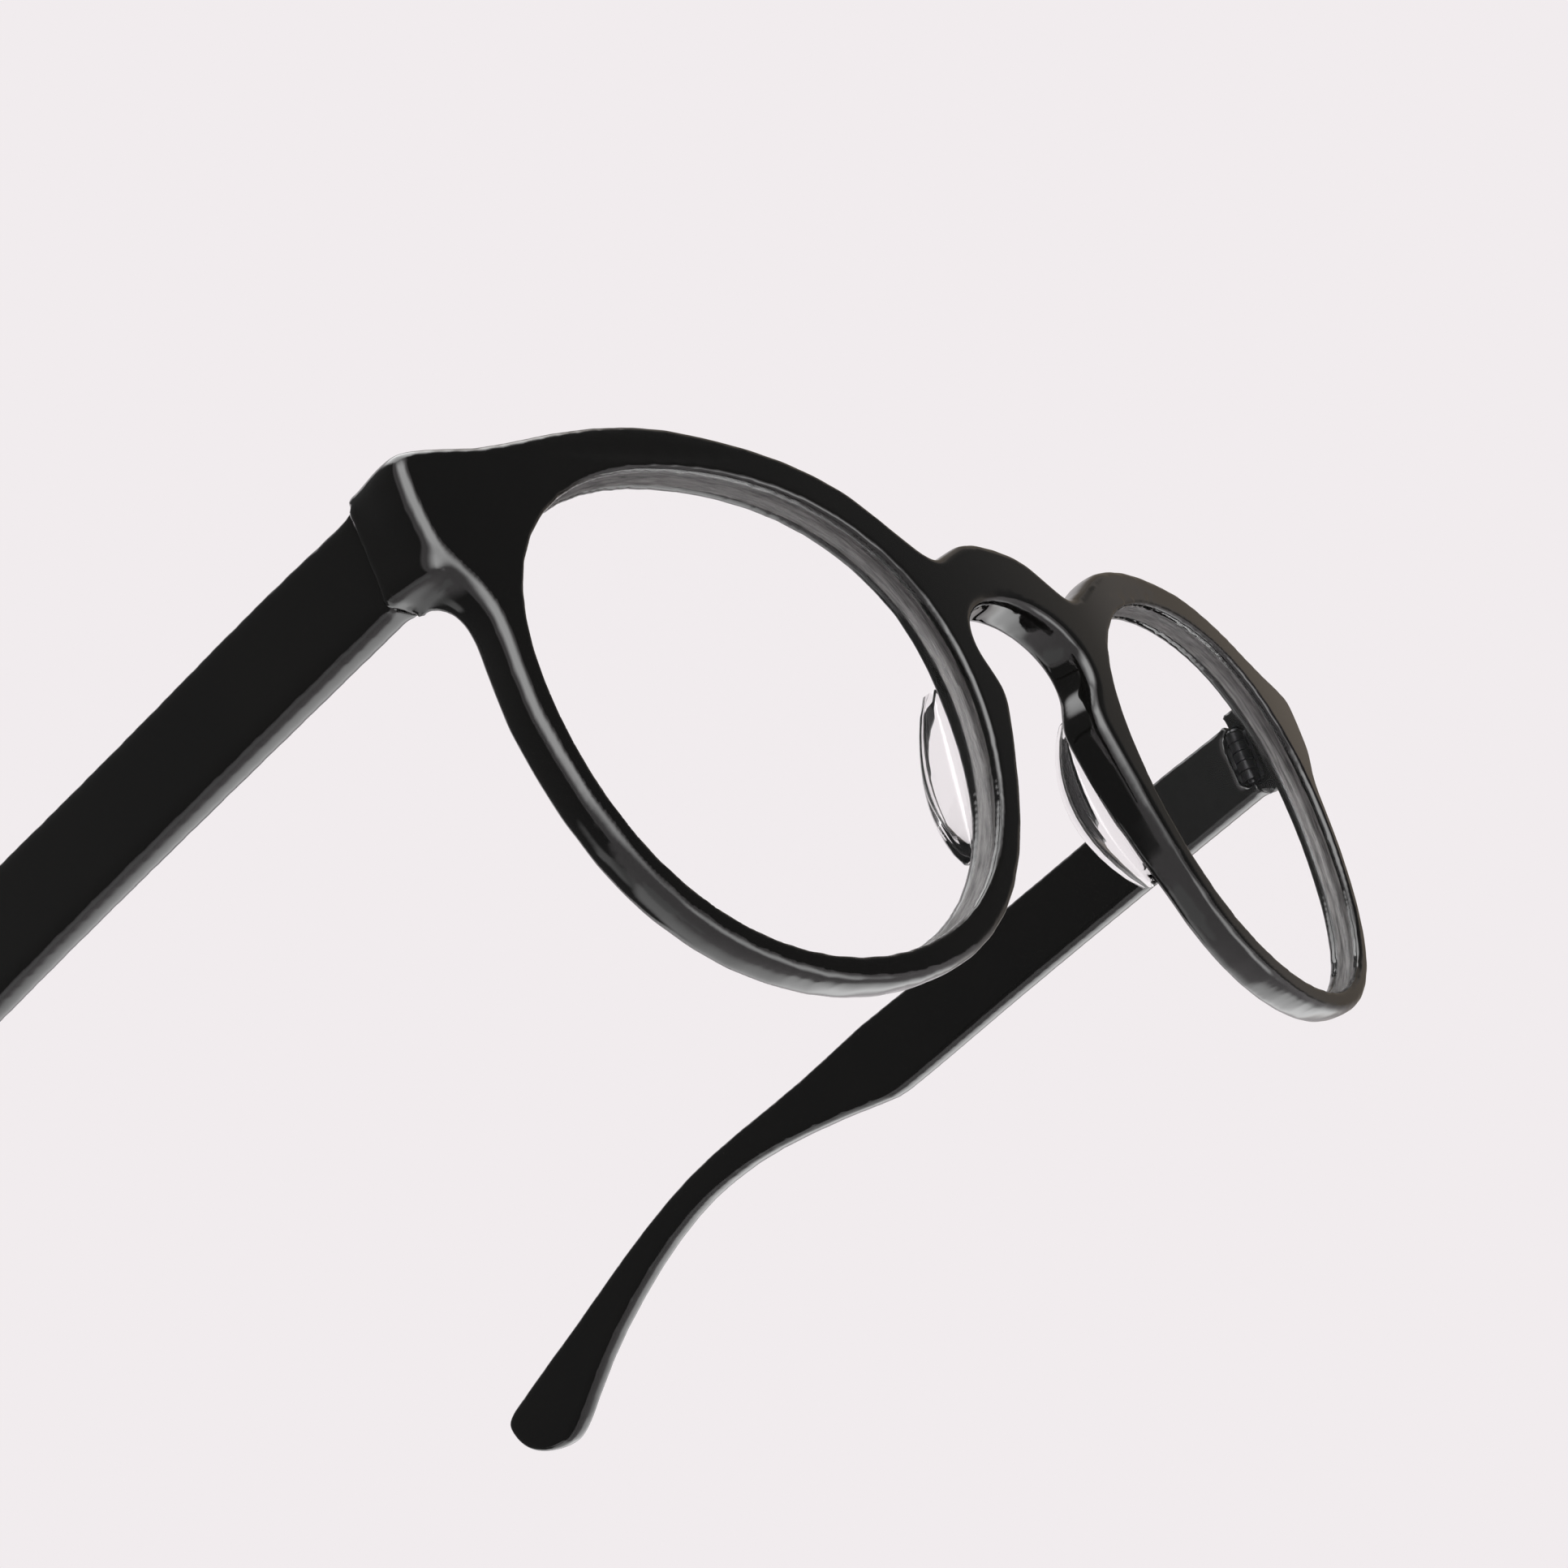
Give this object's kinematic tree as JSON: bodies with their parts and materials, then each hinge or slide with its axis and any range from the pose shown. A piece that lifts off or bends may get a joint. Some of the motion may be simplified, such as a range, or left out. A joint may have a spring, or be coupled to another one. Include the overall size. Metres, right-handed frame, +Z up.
{
  "type": "reading glasses",
  "caption": "Round black acetate reading glasses with a keyhole bridge, clear nose pads and folding temples, standing open.",
  "frame": {"origin": "middle of the footprint, on the surface under the rims and the temple tips", "axes": "+X to the side of the wearer's left temple, +Y from the front back to the temple tips, +Z up"},
  "size_m": [0.1416, 0.1496, 0.0456],
  "materials": {
    "black_acetate": "polished",
    "clear_acetate": "clear, polished",
    "lens_resin": "clear, polished",
    "hinge_metal": "dark plated",
    "core_metal": "drawn wire"
  },
  "bodies": {
    "front": {"front_frame": "black_acetate", "lens_left": "lens_resin", "lens_right": "lens_resin", "nose_pad_left": "clear_acetate", "nose_pad_right": "clear_acetate", "front_hinge_leaf_left": "hinge_metal", "front_hinge_leaf_right": "hinge_metal", "hinge_screw_left": "hinge_metal", "hinge_screw_right": "hinge_metal"},
    "left_arm": {"temple_left": "black_acetate", "core_wire_left": "core_metal", "temple_hinge_leaf_left": "hinge_metal"},
    "right_arm": {"temple_right": "black_acetate", "core_wire_right": "core_metal", "temple_hinge_leaf_right": "hinge_metal"}
  },
  "joints": [
    {"name": "left_fold", "type": "hinge", "parent": "front", "child": "left_arm", "pos_m": [0.0609, -0.06263, 0.03459], "axis": [0, -0.0191, 0.9998], "range_deg": [0, 94]},
    {"name": "right_fold", "type": "hinge", "parent": "front", "child": "right_arm", "pos_m": [-0.0609, -0.06263, 0.03459], "axis": [0, 0.0191, -0.9998], "range_deg": [0, 87]}
  ]
}
